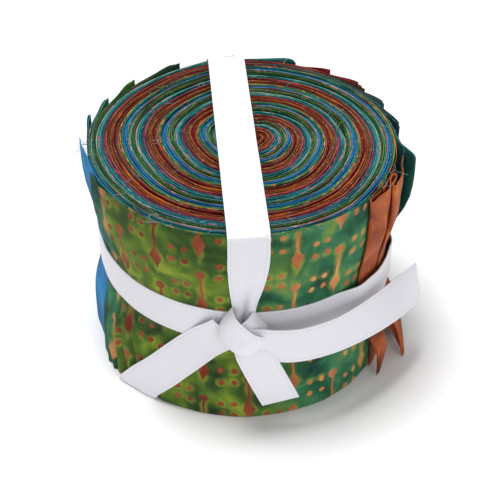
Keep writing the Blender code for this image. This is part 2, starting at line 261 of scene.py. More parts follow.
def stations_of(layer):
    """(windings, row numbers) for each step of a layer, from the core outwards."""
    first = -1.0 + (layer.number + 0.5) / LAYERS
    found = []
    now = first
    while now < layer.windings - 0.0005:
        if now >= layer.shown:
            rows, step = list(range(len(ROWS))), SHOWN_STEP
        elif now >= layer.windings - 1.05:
            rows, step = COVERED_ROWS, COVERED_STEP
        else:
            rows, step = INNER_ROWS, INNER_STEP
        found.append((now, rows))
        now += step / 360.0
    found.append((layer.windings, list(range(len(ROWS)))))
    return found


def layer_points(layer, windings, heights, lifted=True):
    """(radius, angle, z) of the middle of the cloth, a row for each of the windings, a column a height."""
    windings = np.asarray(windings, float)[:, None]
    angle = (LAST_ANGLE + 360.0 * (WINDINGS - windings)) % 360.0
    order = layer.number + LAYERS * np.maximum(windings, 0.0)
    closer = PAIR_CLOSER * (1 if layer.number % 2 == 0 else -1)
    turned = 360.0 * windings
    drift = PAIR_DRIFT * wander(layer.seed // 2 + 300, turned, 90.0)
    drift = drift + LAYER_DRIFT * wander(layer.seed, turned, 40.0)
    rise = SLOW_RISE * wander(layer.seed + 40, turned, 120.0)
    rise = rise + QUICK_RISE * wander(layer.seed + 80, turned, 25.0)
    near_end = smooth((windings - layer.windings) * 360.0 / END_REACH + 1.0)
    rise = rise + layer.rise * near_end + layer.sunk * (1 - near_end) - SETTLED
    foot = layer.raised_foot * (1 - near_end)
    z = foot + heights[None, :] * (STRIP_WIDTH + rise - foot) / STRIP_WIDTH
    shown = smooth((windings - layer.shown) * 360.0 / SHOWN_MARGIN)
    radius = coil_place(order + closer + drift, angle, z, shown)
    top, bottom = layer.stand
    share = heights[None, :] / STRIP_WIDTH
    held = waist(z, angle) / WAIST_DEPTH
    if lifted:
        radius = radius + near_end ** 2 * (bottom + (top - bottom) * share) * (1 - held)
    x, y = on_rim(angle, radius)
    z = z + strap_room(x, y) * np.clip(1.0 - z / 8.0, 0.0, 1.0)
    return radius, np.broadcast_to(angle, radius.shape), z


def to_plan(radius, angle, z, order_share):
    """Points from polar lengths, with the core shifted as the coil is wound off its middle."""
    shift = np.clip(1.0 - order_share, 0.0, 1.0)
    x, y = on_rim(angle, radius)
    return np.stack([x + CORE_SHIFT[0] * shift, y + CORE_SHIFT[1] * shift, z], axis=-1)


class Build:
    """Gathers one strip's points, faces and cloth coordinates."""

    def __init__(self):
        self.points = []
        self.faces = []
        self.along = []
        self.up = []
        self.count = 0

    def add(self, points, along, up):
        first = self.count
        self.points.append(points)
        self.along.append(np.full(len(points), along))
        self.up.append(up)
        self.count += len(points)
        return np.arange(first, self.count)

    def bridge(self, rows_a, ring_a, rows_b, ring_b):
        """Faces between two rings, each its outer side going up and then its inner side going down."""
        shared = [row for row in rows_a if row in rows_b]
        sides = len(rows_a), len(rows_b)
        for side in range(2):
            for low, high in zip(shared, shared[1:]):
                run_a = [k for k in range(sides[0]) if low <= rows_a[k] <= high]
                run_b = [k for k in range(sides[1]) if low <= rows_b[k] <= high]
                line_a = [ring_a[k + side * sides[0]] for k in run_a]
                line_b = [ring_b[k + side * sides[1]] for k in run_b]
                face = line_a + line_b[::-1]
                self.faces.append(face[::-1] if side else face)
        top_a, top_b = sides[0] - 1, sides[1] - 1
        self.faces.append([ring_a[top_a], ring_a[top_a + sides[0]], ring_b[top_b + sides[1]], ring_b[top_b]])
        self.faces.append([ring_a[0], ring_b[0], ring_b[sides[1]], ring_a[sides[0]]])

    def slab(self, path, heights, start=0.0):
        """A closed slab through (row numbers, left side, right side) steps. It returns its length."""
        travelled = start
        before = None
        last_top = None
        for rows, left, right in path:
            top = (left[-1] + right[-1]) / 2
            if before is not None:
                travelled += float(np.linalg.norm(top - last_top))
            last_top = top
            up = heights[rows]
            ring = self.add(np.concatenate([left, right]), travelled, np.concatenate([up, up]))
            if before is None:
                self.cap(ring, False)
            else:
                self.bridge(before[0], before[1], rows, ring)
            before = (rows, ring)
        self.cap(before[1], True)
        return travelled

    def cap(self, ring, last):
        half = len(ring) // 2
        for k in range(half - 1):
            face = [ring[k], ring[k + 1], ring[half + k + 1], ring[half + k]]
            self.faces.append(face if last else face[::-1])


def layer_sides(layer):
    """(row numbers, outer side, inner side) of each step of a layer, from the core outwards."""
    stations = stations_of(layer)
    heights = np.array(ROWS)
    windings = np.array([now for now, _ in stations])
    radius, angle, z = layer_points(layer, windings, heights)
    share = (layer.number + LAYERS * np.maximum(windings, 0.0))[:, None] / (LAYERS * WINDINGS)
    outer = to_plan(radius + CLOTH / 2, angle, z, share)
    inner = to_plan(radius - CLOTH / 2, angle, z, share)
    return [(rows, outer[i][rows], inner[i][rows]) for i, (_, rows) in enumerate(stations)]


def wound_strip(inner, outer):
    """A strip's mesh data: in along its inner layer, round the fold, and out along its outer one."""
    build = Build()
    path = [(rows, inside, outside) for rows, outside, inside in layer_sides(inner)[::-1]]
    path += layer_sides(outer)
    build.slab(path, np.array(ROWS))
    return build


def make_object(name, build, material):
    points = np.concatenate(build.points) * MM
    mesh = bpy.data.meshes.new(name)
    mesh.from_pydata(points.tolist(), [], [[int(k) for k in face] for face in build.faces])
    along = np.concatenate(build.along)
    up = np.concatenate(build.up)
    corners = np.empty(len(mesh.loops), np.int32)
    mesh.loops.foreach_get("vertex_index", corners)
    layer = mesh.uv_layers.new(name="cloth")
    pairs = np.stack([along[corners] * 0.01, up[corners] * 0.01], axis=-1)
    layer.data.foreach_set("uv", pairs.astype(np.float32).ravel())
    mesh.materials.append(material)
    mesh.validate()
    mesh.update()
    made = bpy.data.objects.new(name, mesh)
    bpy.context.scene.collection.objects.link(made)
    mesh.shade_smooth()
    mesh.set_sharp_from_angle(angle=math.radians(45))
    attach(made, "root")
    return made


def surface_table(layers, heights, lifted):
    """The outer radius of all the cloth at each whole degree and at these heights."""
    table = np.zeros((360, len(heights)))
    for layer in layers:
        steps = np.arange(layer.windings, layer.windings - 1.0, -1.0 / 360.0)
        radius, angle, _ = layer_points(layer, steps, heights, lifted)
        places = np.round(angle[:, 0]).astype(int) % 360
        np.maximum.at(table, places, radius + CLOTH / 2)
    return table


class Surface:
    """The cloth's outer surface, smoothed over a few degrees so that the ribbon can lie on it."""

    def __init__(self, layers, lifted=True):
        self.heights = np.array(ROWS)
        raw = surface_table(layers, self.heights, lifted)
        widest = np.max([np.roll(raw, k, axis=0) for k in range(-2, 3)], axis=0)
        self.table = np.mean([np.roll(widest, k, axis=0) for k in range(-2, 3)], axis=0)

    def radius(self, angle, z):
        """The radius at one angle and height, between the table's own."""
        low = math.floor(angle) % 360
        high = (low + 1) % 360
        part = angle - math.floor(angle)
        row = self.table[low] * (1 - part) + self.table[high] * part
        return float(np.interp(z, self.heights, row))


def along(points, share):
    """The point this share of the way along a smooth curve through equally spaced points."""
    position = share * (len(points) - 1)
    i = min(int(position), len(points) - 2)
    t = position - i
    last = len(points) - 1
    before, a, b, after = (np.array(points[min(max(i + k, 0), last)], float) for k in (-1, 0, 1, 2))
    bend = 2 * before - 5 * a + 4 * b - after
    twist = 3 * a - before - 3 * b + after
    return 0.5 * (2 * a + (b - before) * t + bend * t * t + twist * t ** 3)


class Band:
    """A length of ribbon as rows of points across it, each row a list of places from edge to edge."""

    def __init__(self, rows):
        self.rows = [np.array(row, float) for row in rows]

    def normals(self):
        grid = np.array(self.rows)
        run = np.gradient(grid, axis=0)
        across = np.gradient(grid, axis=1)
        normal = np.cross(run, across)
        return normal / np.linalg.norm(normal, axis=2, keepdims=True)


def add_band(build, band, start, thickness=RIBBON, width=RIBBON_WIDTH):
    """Adds a band as a closed slab, and returns how far along the ribbon or the strip it ends."""
    normal = band.normals()
    count = len(band.rows[0])
    rows = list(range(count))
    path = []
    for i, row in enumerate(band.rows):
        path.append((rows, row + normal[i] * thickness / 2, row - normal[i] * thickness / 2))
    return build.slab(path, np.linspace(0.0, width, count), start)


def station_band(stations, steps):
    """A band on a smooth curve through (middle, across, width, cup) stations. The cup bends its section."""
    middles = [s[0] for s in stations]
    directions = [s[1] for s in stations]
    sizes = [(s[2], s[3], 0.0) for s in stations]
    rows = []
    for i in range(steps + 1):
        share = i / steps
        middle = along(middles, share)
        ahead = along(middles, min(share + 0.002, 1.0)) - along(middles, max(share - 0.002, 0.0))
        across = along(directions, share)
        across = across / np.linalg.norm(across)
        normal = np.cross(ahead, across)
        normal = normal / np.linalg.norm(normal)
        width, cupped, _ = along(sizes, share)
        row = []
        for place in np.linspace(-1.0, 1.0, RIBBON_POINTS):
            row.append(middle + across * place * width / 2 + normal * cupped * (1 - place ** 2))
        rows.append(row)
    return Band(rows)


def tone(red, green, blue):
    """A linear colour from one given in the usual 0 to 255 steps."""
    linear = []
    for value in (red, green, blue):
        value = value / 255.0
        linear.append(value / 12.92 if value <= 0.04045 else ((value + 0.055) / 1.055) ** 2.4)
    return (*linear, 1.0)


class Shading:
    """A material's nodes, with short calls for the kinds used here."""

    def __init__(self, name, roughness):
        self.material = bpy.data.materials.new(name)
        self.material.use_nodes = True
        self.nodes = self.material.node_tree.nodes
        self.links = self.material.node_tree.links
        self.shader = self.nodes["Principled BSDF"]
        self.shader.inputs["Roughness"].default_value = roughness

    def feed(self, socket, value):
        if isinstance(value, bpy.types.NodeSocket):
            self.links.new(value, socket)
        else:
            socket.default_value = value

    def math(self, operation, *values):
        node = self.nodes.new("ShaderNodeMath")
        node.operation = operation
        for socket, value in zip(node.inputs, values):
            self.feed(socket, value)
        return node.outputs[0]

    def times(self, first, second):
        return self.math("MULTIPLY", first, second)

    def plus(self, first, second):
        return self.math("ADD", first, second)

    def minus(self, first, second):
        return self.math("SUBTRACT", first, second)

    def over(self, first, second):
        return self.math("DIVIDE", first, second)

    def step(self, value, low, high):
        """Zero at low and one at high, smoothly."""
        node = self.nodes.new("ShaderNodeMapRange")
        node.interpolation_type = "SMOOTHSTEP"
        self.feed(node.inputs["Value"], value)
        self.feed(node.inputs["From Min"], low)
        self.feed(node.inputs["From Max"], high)
        return node.outputs["Result"]

    def mix(self, share, first, second):
        node = self.nodes.new("ShaderNodeMix")
        node.data_type = "RGBA"
        self.feed(node.inputs[0], share)
        self.feed(node.inputs[6], first)
        self.feed(node.inputs[7], second)
        return node.outputs[2]

    def ramp(self, value, stops):
        node = self.nodes.new("ShaderNodeValToRGB")
        colours = node.color_ramp.elements
        while len(colours) < len(stops):
            colours.new(0.5)
        for element, (place, colour) in zip(colours, stops):
            element.position = place
            element.color = colour
        self.feed(node.inputs[0], value)
        return node.outputs[0]

    def noise(self, vector, scale, detail=2.0, distortion=0.0):
        node = self.nodes.new("ShaderNodeTexNoise")
        node.inputs["Scale"].default_value = scale
        node.inputs["Detail"].default_value = detail
        node.inputs["Distortion"].default_value = distortion
        self.links.new(vector, node.inputs["Vector"])
        return node.outputs[0]

    def wobbled(self, value, noise, size):
        return self.plus(value, self.times(self.minus(noise, 0.5), size))

    def apart(self, value, place):
        return self.math("ABSOLUTE", self.minus(value, place))

    def reach(self, first, second):
        """The length of a plan vector with these two parts."""
        squares = [self.math("POWER", part, 2.0) for part in (first, second)]
        return self.math("SQRT", self.plus(*squares))

    def cells(self, vector, scale):
        node = self.nodes.new("ShaderNodeTexVoronoi")
        node.inputs["Scale"].default_value = scale
        self.links.new(vector, node.inputs["Vector"])
        return node.outputs["Distance"]

    def cloth(self):
        """The cloth's own coordinates: the vector, and its length and height in millimetres."""
        place = self.nodes.new("ShaderNodeUVMap")
        place.uv_map = "cloth"
        parts = self.nodes.new("ShaderNodeSeparateXYZ")
        self.links.new(place.outputs[0], parts.inputs[0])
        x = self.times(parts.outputs[0], 100.0)
        y = self.times(parts.outputs[1], 100.0)
        return place.outputs[0], x, y

    def moved(self, vector, shift, stretch=(1.0, 1.0, 1.0)):
        node = self.nodes.new("ShaderNodeMapping")
        node.inputs["Location"].default_value = shift
        node.inputs["Scale"].default_value = stretch
        self.links.new(vector, node.inputs["Vector"])
        return node.outputs[0]

    def bump(self, height, distance, strength=1.0):
        node = self.nodes.new("ShaderNodeBump")
        node.inputs["Strength"].default_value = strength
        node.inputs["Distance"].default_value = distance * MM
        self.links.new(height, node.inputs["Height"])
        self.links.new(node.outputs[0], self.shader.inputs["Normal"])

    def finish(self, colour):
        self.links.new(colour, self.shader.inputs["Base Color"])
        return self.material


# The front cloth's print: the columns, the motifs' places along a repeat, and their sizes
PRINT_COLUMN = 12.4
PRINT_STAGGER = 8.3
PRINT_REPEAT = 22.0
PRINT_STEM = 3.2
PRINT_DOTS = 8.9
PRINT_DOT_STEP = 4.1
LOZENGE_AT = 7.0
LOZENGE_HALF = (1.7, 3.8)
STEM_AT = 12.5
STEM_HALF = (0.34, 6.0)
BUD_AT = 18.6
BUD_RADIUS = 1.25
DOT_COLUMN_HALF = 1.75
DOT_RADIUS = 0.82

# Where along the front strip its ground turns from moss to teal green
LAKE_FROM = 1102.0
LAKE_FULL = 1076.0


def stem_and_dot_print(made, x, y, wobble_from):
    """Distance in mm from the printed motifs: stems with a lozenge and a bud, and columns of dots."""
    x = made.wobbled(x, made.noise(wobble_from, 28.0), 1.5)
    y = made.wobbled(y, made.noise(wobble_from, 23.0), 1.5)
    column = made.math("FLOOR", made.over(x, PRINT_COLUMN))
    inside = made.minus(x, made.times(column, PRINT_COLUMN))
    shifted = made.plus(y, made.times(column, PRINT_STAGGER))
    turn = made.math("FLOORED_MODULO", shifted, PRINT_REPEAT)
    from_stem = made.apart(inside, PRINT_STEM)
    wide = made.over(from_stem, LOZENGE_HALF[0])
    tall = made.over(made.apart(turn, LOZENGE_AT), LOZENGE_HALF[1])
    lozenge = made.minus(made.plus(wide, tall), 1.0)
    lozenge = made.times(lozenge, 1.5)
    past_stem = made.minus(made.apart(turn, STEM_AT), STEM_HALF[1])
    stem = made.math("MAXIMUM", made.minus(from_stem, STEM_HALF[0]), past_stem)
    to_bud = made.minus(turn, BUD_AT)
    bud = made.minus(made.reach(from_stem, to_bud), BUD_RADIUS)
    from_dots = made.minus(made.apart(inside, PRINT_DOTS), DOT_COLUMN_HALF)
    dot_place = made.plus(shifted, 1.0)
    dot_turn = made.math("FLOORED_MODULO", dot_place, PRINT_DOT_STEP)
    to_dot = made.minus(dot_turn, PRINT_DOT_STEP / 2)
    dots = made.minus(made.reach(from_dots, to_dot), DOT_RADIUS)
    row = made.math("FLOOR", made.over(dot_place, PRINT_DOT_STEP))
    left_out = made.math("LESS_THAN", made.math("FLOORED_MODULO", row, 3.0), 0.5)
    dots = made.plus(dots, made.times(left_out, 9.0))
    return made.math("MINIMUM", made.math("MINIMUM", lozenge, stem), made.math("MINIMUM", bud, dots))


def frayed_and_highlit_edge(made, vector, y, colour):
    """Lighter broken threads along the cut edges, and a painted highlight on those edges."""
    on_edge = made.math("GREATER_THAN", made.apart(y, STRIP_WIDTH / 2), STRIP_WIDTH / 2 - 0.05)
    broken = made.step(made.noise(vector, 60.0, 2.0), 0.55, 0.72)
    share = made.times(on_edge, made.times(broken, 0.4))
    # Painted highlight: the cut edges, which make up the coil's top, are mixed towards a light thread
    # colour.
    return made.mix(share, colour, tone(196, 180, 160))


def cotton_grain(made, vector):
    grain = made.noise(vector, 260.0, 2.0)
    soft = made.noise(vector, 9.0, 2.0)
    height = made.plus(made.times(grain, 0.12), made.times(soft, 0.9))
    made.bump(height, 0.5, 0.7)
    made.shader.inputs["Sheen Weight"].default_value = 0.04
    made.shader.inputs["Sheen Roughness"].default_value = 0.5
    made.shader.inputs["Specular IOR Level"].default_value = 0.2


def batik(name, seed, colours, spots=None, spot_share=0.0, tip=None):
    """Hand-dyed cotton: mottled in the given colours, with spots, and maybe other colours at its ends."""
    made = Shading(f"cotton {name}", 0.85)
    vector, x, y = made.cloth()
    vector = made.moved(vector, (seed * 3.7, seed * 1.3, 0.0))
    clouds = made.noise(vector, 7.0, 3.0, 0.8)
    stops = [(0.3 + 0.4 * i / (len(colours) - 1), colour) for i, colour in enumerate(colours)]
    colour = made.ramp(clouds, stops)
    fine = made.noise(made.moved(vector, (5.0, 3.0, 0.0)), 26.0, 2.0, 0.5)
    darker = made.step(fine, 0.45, 0.75)
    colour = made.mix(made.times(darker, 0.5), colour, colours[0])
    if spots:
        spotted = made.step(made.cells(vector, 34.0), 0.42, 0.3)
        patches = made.noise(made.moved(vector, (9.0, 1.0, 0.0)), 6.0, 1.0)
        chosen = made.step(patches, 0.62 - spot_share, 0.72 - spot_share)
        colour = made.mix(made.times(spotted, chosen), colour, spots)
    if tip:
        from_ends = made.math("MINIMUM", x, made.minus(STRIP_LENGTH, x))
        dark = tuple(0.5 * part for part in tip)
        light = tuple(min(1.5 * part + 0.02, 1.0) for part in tip)
        mottled = made.ramp(clouds, [(0.32, dark), (0.5, tip), (0.7, light)])
        colour = made.mix(made.step(from_ends, 75.0, 45.0), colour, mottled)
    cotton_grain(made, vector)
    return made.finish(frayed_and_highlit_edge(made, vector, y, colour))


def ramped(made, value, *stops):
    """A ramp from stops that are each a place and a 0 to 255 colour."""
    return made.ramp(value, [(place, tone(*colour)) for place, colour in stops])


def green_batik():
    """The front strip: moss to teal green ground under a rust print of stems, buds and dots."""
    made = Shading("cotton green", 0.8)
    vector, x, y = made.cloth()
    clouds = made.noise(vector, 9.0, 6.0, 0.7)
    moss = ramped(
        made, clouds,
        (0.3, (26, 48, 20)), (0.43, (56, 86, 28)), (0.56, (94, 122, 34)), (0.7, (140, 158, 50)),
    )
    lake = ramped(
        made, clouds,
        (0.3, (10, 56, 46)), (0.43, (30, 92, 62)), (0.57, (58, 122, 82)), (0.7, (118, 146, 64)),
    )
    drifted = made.wobbled(x, made.noise(made.moved(vector, (4.0, 7.0, 0.0)), 5.0), 40.0)
    lakeward = made.step(drifted, LAKE_FROM, LAKE_FULL)
    ground = made.mix(lakeward, moss, lake)
    apart = stem_and_dot_print(made, x, y, vector)
    halo = made.step(apart, 1.5, 0.1)
    halo = made.times(halo, made.step(made.noise(vector, 11.0), 0.42, 0.62))
    ground = made.mix(made.times(halo, 0.55), ground, tone(160, 168, 62))
    shades = made.noise(made.moved(vector, (2.0, 2.0, 0.0)), 12.0)
    rust = ramped(made, shades, (0.35, (118, 44, 24)), (0.65, (160, 84, 50)))
    peach = ramped(made, shades, (0.35, (178, 100, 62)), (0.65, (214, 158, 96)))
    ink = made.mix(lakeward, rust, peach)
    colour = made.mix(made.step(apart, 0.22, -0.12), ground, ink)
    cotton_grain(made, vector)
    return made.finish(frayed_and_highlit_edge(made, vector, y, colour))


def copper_batik():
    made = Shading("cotton copper", 0.75)
    vector, x, y = made.cloth()
    clouds = made.noise(vector, 9.0, 4.0, 0.8)
    colour = ramped(
        made, clouds,
        (0.3, (104, 44, 20)), (0.48, (160, 76, 38)), (0.62, (182, 96, 50)), (0.75, (206, 122, 60)),
    )
    streaks = made.step(made.noise(made.moved(vector, (1.0, 2.0, 0.0), (1.0, 0.3, 1.0)), 40.0), 0.6, 0.75)
    colour = made.mix(made.times(streaks, 0.7), colour, tone(216, 124, 40))
    cotton_grain(made, vector)
    return made.finish(frayed_and_highlit_edge(made, vector, y, colour))


SELVAGE_LINE = 4.45
SATIN_RIB = 0.62


def white_satin():
    """Satin with fine crosswise ribs and a stitched line just inside each edge."""
    made = Shading("white satin", 0.36)
    vector, x, y = made.cloth()
    from_line = made.apart(made.apart(y, RIBBON_WIDTH / 2), SELVAGE_LINE)
    line = made.minus(1.0, made.step(from_line, 0.06, 0.16))
    stitches = made.step(made.math("SINE", made.times(x, 5.2)), -0.6, 0.4)
    line = made.times(line, stitches)
    colour = made.mix(made.times(line, 0.35), tone(236, 235, 243), tone(168, 166, 186))
    ribs = made.math("SINE", made.times(x, 2 * math.pi / SATIN_RIB))
    weave = made.noise(made.moved(vector, (0.0, 0.0, 0.0), (1.0, 6.0, 1.0)), 60.0, 2.0)
    height = made.plus(made.times(ribs, 0.16), made.times(weave, 0.5))
    made.bump(made.minus(height, made.times(line, 0.6)), 0.09, 0.8)
    made.shader.inputs["Anisotropic"].default_value = 0.4
    made.shader.inputs["Sheen Weight"].default_value = 0.1
    return made.finish(colour)


def studio_floor():
    made = Shading("studio floor", 0.55)
    made.shader.inputs["Base Color"].default_value = (0.93, 0.93, 0.93, 1.0)
    return made.material


def dyed(*colours, spots=None, spot_share=0.0, tip=None):
    """One strip's colours, each given as 0 to 255 steps."""
    return dict(
        colours=[tone(*colour) for colour in colours],
        spots=tone(*spots) if spots else None,
        spot_share=spot_share,
        tip=tone(*tip) if tip else None,
    )


# Each strip's mottling from dark to light, its spots, how much they cover, and its colour near its ends
PALETTES = dict(
    sage=dyed((14, 62, 52), (34, 104, 82), (70, 138, 100), spots=(96, 20, 24), spot_share=0.16),
    blue=dyed((0, 86, 140), (0, 114, 176), (0, 138, 196)),
    petrol=dyed((0, 90, 150), (0, 112, 176), (20, 130, 170), tip=(0, 96, 104)),
    salmon=dyed((120, 44, 40), (60, 112, 100), (196, 112, 92), spots=(220, 160, 140), spot_share=0.1),
    mint=dyed((24, 96, 84), (58, 140, 120), (120, 182, 150), spots=(196, 110, 120), spot_share=0.08),
    moss=dyed((14, 46, 24), (46, 88, 34), (96, 130, 50)),
    leaf=dyed((8, 38, 26), (24, 76, 46), (120, 60, 40)),
    pale=dyed((34, 104, 92), (88, 146, 120), (170, 186, 150), spots=(206, 150, 150), spot_share=0.12),
    foam=dyed((14, 88, 106), (40, 132, 144), (130, 170, 174), spots=(206, 110, 140), spot_share=0.16),
    teal=dyed((0, 70, 80), (0, 112, 116), (36, 150, 144), spots=(120, 180, 170), spot_share=0.05),
    pine=dyed((4, 42, 48), (16, 84, 84), (104, 60, 84)),
    crimson=dyed(
        (24, 76, 110), (110, 40, 90), (60, 126, 140),
        spots=(190, 70, 110), spot_share=0.14, tip=(128, 16, 32),
    ),
    rose=dyed((80, 14, 18), (150, 50, 44), (190, 100, 76)),
    olive=dyed((46, 30, 14), (96, 60, 24), (86, 100, 40)),
    slate=dyed((70, 26, 14), (150, 72, 24), (60, 90, 80), tip=(60, 96, 102)),
    amber=dyed((70, 24, 12), (130, 60, 24), (226, 120, 20), tip=(40, 84, 84)),
    garnet=dyed((44, 4, 8), (112, 10, 14), (170, 24, 24), tip=(8, 66, 72)),
    lagoon=dyed(
        (60, 8, 12), (120, 20, 22), (16, 92, 90),
        spots=(110, 14, 30), spot_share=0.06, tip=(0, 112, 100),
    ),
)


def strip_material(name, seed):
    if name == "green":
        return green_batik()
    if name == "copper":
        return copper_batik()
    return batik(name, seed, **PALETTES[name])


# The copper strip's outer end in plan, from its end inwards: angle and layers out from the coil
PLEAT_LEGS = [
    (328.0, 0.0), (320.4, 0.0), (320.4, 1.0), (330.8, 1.0), (335.0, 0.0), (337.4, 0.0),
    (337.4, 1.0), (333.2, 1.0), (333.2, 2.0), (341.0, 2.0), (346.5, 1.0), (350.0, 0.6),
]
PLEAT_LAYER = 1.15
PLEAT_STEP = 0.8
PLEAT_ROWS = 30
PLEAT_PRESSED = 0.42
PLEATS_FROM = 1010.0
LEFT_TAIL_ENDS = 333.6
RIGHT_TAIL_STARTS = 337.4

# The two tails' middles and how far each is drawn together, from the top down
LEFT_TAIL = [
    (34.2, -24.4, 24.0, 1.0),
    (37.4, -23.0, 13.0, 0.92),
    (38.8, -22.6, 7.5, 0.66),
    (38.5, -24.4, 3.4, 0.36),
    (38.0, -26.0, 0.9, 0.2),
]
RIGHT_TAIL = [
    (40.2, -14.9, 24.0, 1.0),
    (43.0, -13.8, 14.0, 0.7),
    (44.5, -13.8, 8.0, 0.45),
    (45.4, -15.6, 3.6, 0.34),
    (45.9, -17.6, 0.9, 0.26),
]
TAIL_TOP = 24.0
WEB_BOTTOM = 15.0
WEB_STEPS = 5.0


def pleat_plan():
    """The pleats in plan as (angle, layers out): legs joined by round folds, in small even steps."""
    reach = math.degrees(0.5 * PLEAT_LAYER / COIL_RADIUS)
    path = []
    came_from = PLEAT_LEGS[0][0]
    for (angle, layer), (next_angle, next_layer) in zip(PLEAT_LEGS, PLEAT_LEGS[1:]):
        if angle == next_angle:
            outward = 1.5 * reach if came_from < angle else -1.5 * reach
            for k in range(9):
                swing = math.pi * k / 8
                over = (1 - math.cos(swing)) / 2
                path.append((angle + outward * math.sin(swing), layer + (next_layer - layer) * over))
        else:
            steps = max(2, round(abs(next_angle - angle) * COIL_RADIUS * math.pi / 180 / PLEAT_STEP))
            for k in range(1, steps):
                share = k / steps
                rise = (next_layer - layer) * float(smooth(share))
                path.append((angle + (next_angle - angle) * share, layer + rise))
        came_from = angle
    path.append(PLEAT_LEGS[-1])
    return path


def tail_point(tail, z):
    """The middle and the size of a tail at this height."""
    rising = tail[::-1]
    heights = [point[2] for point in rising]
    x, y, size = (float(np.interp(z, heights, [point[k] for point in rising])) for k in (0, 1, 3))
    return np.array((x, y)), size


def tail_at(k, left_stop, right_start):
    """The tail that this step of the pleats ends in, and how much of the cloth between them it is."""
    if k <= left_stop:
        return LEFT_TAIL, float(smooth((k - left_stop + WEB_STEPS) / WEB_STEPS))
    if k >= right_start:
        return RIGHT_TAIL, float(smooth((right_start + WEB_STEPS - k) / WEB_STEPS))
    return None, 1.0


def drawn_together(place, tail, web, z):
    """The place where the cloth is pulled to when its lower part hangs as a tail."""
    centre, size = tail_point(tail, z)
    reference, _ = tail_point(tail, TAIL_TOP)
    drawn = float(smooth((TAIL_TOP - z) / 6.0)) * (1 - web)
    return place * (1 - drawn) + (centre + (place - reference) * size) * drawn


def copper_end(surface):
    """The pleated outer end of the copper strip as rows of places, from the end inwards."""
    plan = pleat_plan()
    steps = list(enumerate(plan))
    left_stop = next(k for k, (angle, layer) in steps if angle >= LEFT_TAIL_ENDS and layer < 0.35 and k > 20)
    right_start = next(k for k, (angle, layer) in steps if angle >= RIGHT_TAIL_STARTS and k > left_stop)
    rows = []
    for k, (angle, layer) in steps:
        tail, web = tail_at(k, left_stop, right_start)
        tip = tail[-1][2] if tail else WEB_BOTTOM
        bottom = tip * (1 - web) + WEB_BOTTOM * web + 0.5 * math.sin(k * 0.9)
        row = []
        for v in np.linspace(0.0, 1.0, PLEAT_ROWS):
            z = bottom + v * (STRIP_WIDTH - 0.2 - 0.25 * layer - bottom)
            pressed = float(waist(z, angle)) / WAIST_DEPTH
            out = (layer * (1.0 - (1.0 - PLEAT_PRESSED) * pressed) + 0.1) * PLEAT_LAYER
            wrinkle = 0.12 * math.sin(0.55 * z + 0.8 * k) * (1 - pressed) * min(layer, 1.0)
            place = np.array(on_rim(angle, surface.radius(angle, z) + 0.15 + out + wrinkle))
            if tail:
                place = drawn_together(place, tail, web, z)
            row.append([place[0], place[1], z])
        rows.append(row)
    return Band(rows)


def make_strips():
    """Makes the twenty strips, and returns the surface on which the ribbon lies."""
    layers = all_layers()
    surface = Surface(layers)
    for i, strip in enumerate(STRIPS):
        inner, outer = layers[LAYERS - 2 - 2 * i], layers[LAYERS - 1 - 2 * i]
        build = wound_strip(inner, outer)
        if strip["name"] == "copper":
            pleats = copper_end(Surface(layers, lifted=False))
            add_band(build, pleats, PLEATS_FROM, CLOTH, STRIP_WIDTH)
        material = strip_material(strip["name"], i)
        made = make_object(f"strip_{strip['name']}", build, material)
        stands_for = ["fabric_roll"]
        if f"loose_end_{strip['name']}" in NODES:
            stands_for.append(f"loose_end_{strip['name']}")
        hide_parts(*stands_for)
    return surface


def polar_point(angle, radius, z):
    x, y = on_rim(angle, radius)
    return [x, y, z]


def bump(value, middle, half):
    """One at the middle and nothing past half of its width away."""
    return float(smooth(1.0 - abs(value - middle) / half))


def ring_band(surface):
    """Round the roll's waist, over the pleats and over the ribbon that runs down the back."""
    rows = []
    for i in range(0, 361, 2):
        angle = (270.0 - i) % 360.0
        off = RIBBON_CLEAR + 0.5 * bump(angle, 105.0, 16.0)
        off += 2.1 * float(smooth((angle - 306.0) / 14.0) * smooth((357.0 - angle) / 11.0))
        row = []
        for place in np.linspace(-1.0, 1.0, RING_POINTS):
            z = ring_height(angle) + place * RIBBON_WIDTH / 2
            row.append(polar_point(angle, surface.radius(angle, z) + off, z))
        rows.append(row)
    return Band(rows)


def lying_row(surface, angle, z, across, off):
    """A row across the ribbon where it lies on the roll's side, running this way in (arc, z)."""
    row = []
    for place in np.linspace(-1.0, 1.0, RIBBON_POINTS):
        arc = across[0] * place * RIBBON_WIDTH / 2
        height = z + across[1] * place * RIBBON_WIDTH / 2
        here = angle + math.degrees(arc / COIL_RADIUS)
        row.append(polar_point(here, surface.radius(here % 360.0, max(height, 0.0)) + off, height))
    return row


TOP_FRONT = np.array((1.5, -42.75, 0.0))
TOP_BACK = np.array((-5.5, 42.3, 0.0))
TOP_HEIGHT = 64.45
BEND = 0.9


def over_top_rows():
    """From the front rim over the top to the back rim, with round bends at both."""
    line = TOP_BACK - TOP_FRONT
    length = np.linalg.norm(line[:2])
    heading = line / length
    aside = np.array((heading[1], -heading[0], 0.0))
    rows = []
    for i in range(61):
        share = i / 60
        run = share * length
        drop_front, drop_back = (
            BEND - math.sqrt(max(BEND ** 2 - max(BEND - way, 0.0) ** 2, 0.0)) for way in (run, length - run)
        )
        sag = 0.12 * math.sin(share * 9.0) + 0.08 * math.sin(share * 23.0)
        height = TOP_HEIGHT - drop_front - drop_back + sag * bump(share, 0.5, 0.5)
        middle = TOP_FRONT + heading * run
        row = []
        for place in np.linspace(-1.0, 1.0, RIBBON_POINTS):
            point = middle + aside * place * RIBBON_WIDTH / 2
            row.append([point[0], point[1], height])
        rows.append(row)
    return rows


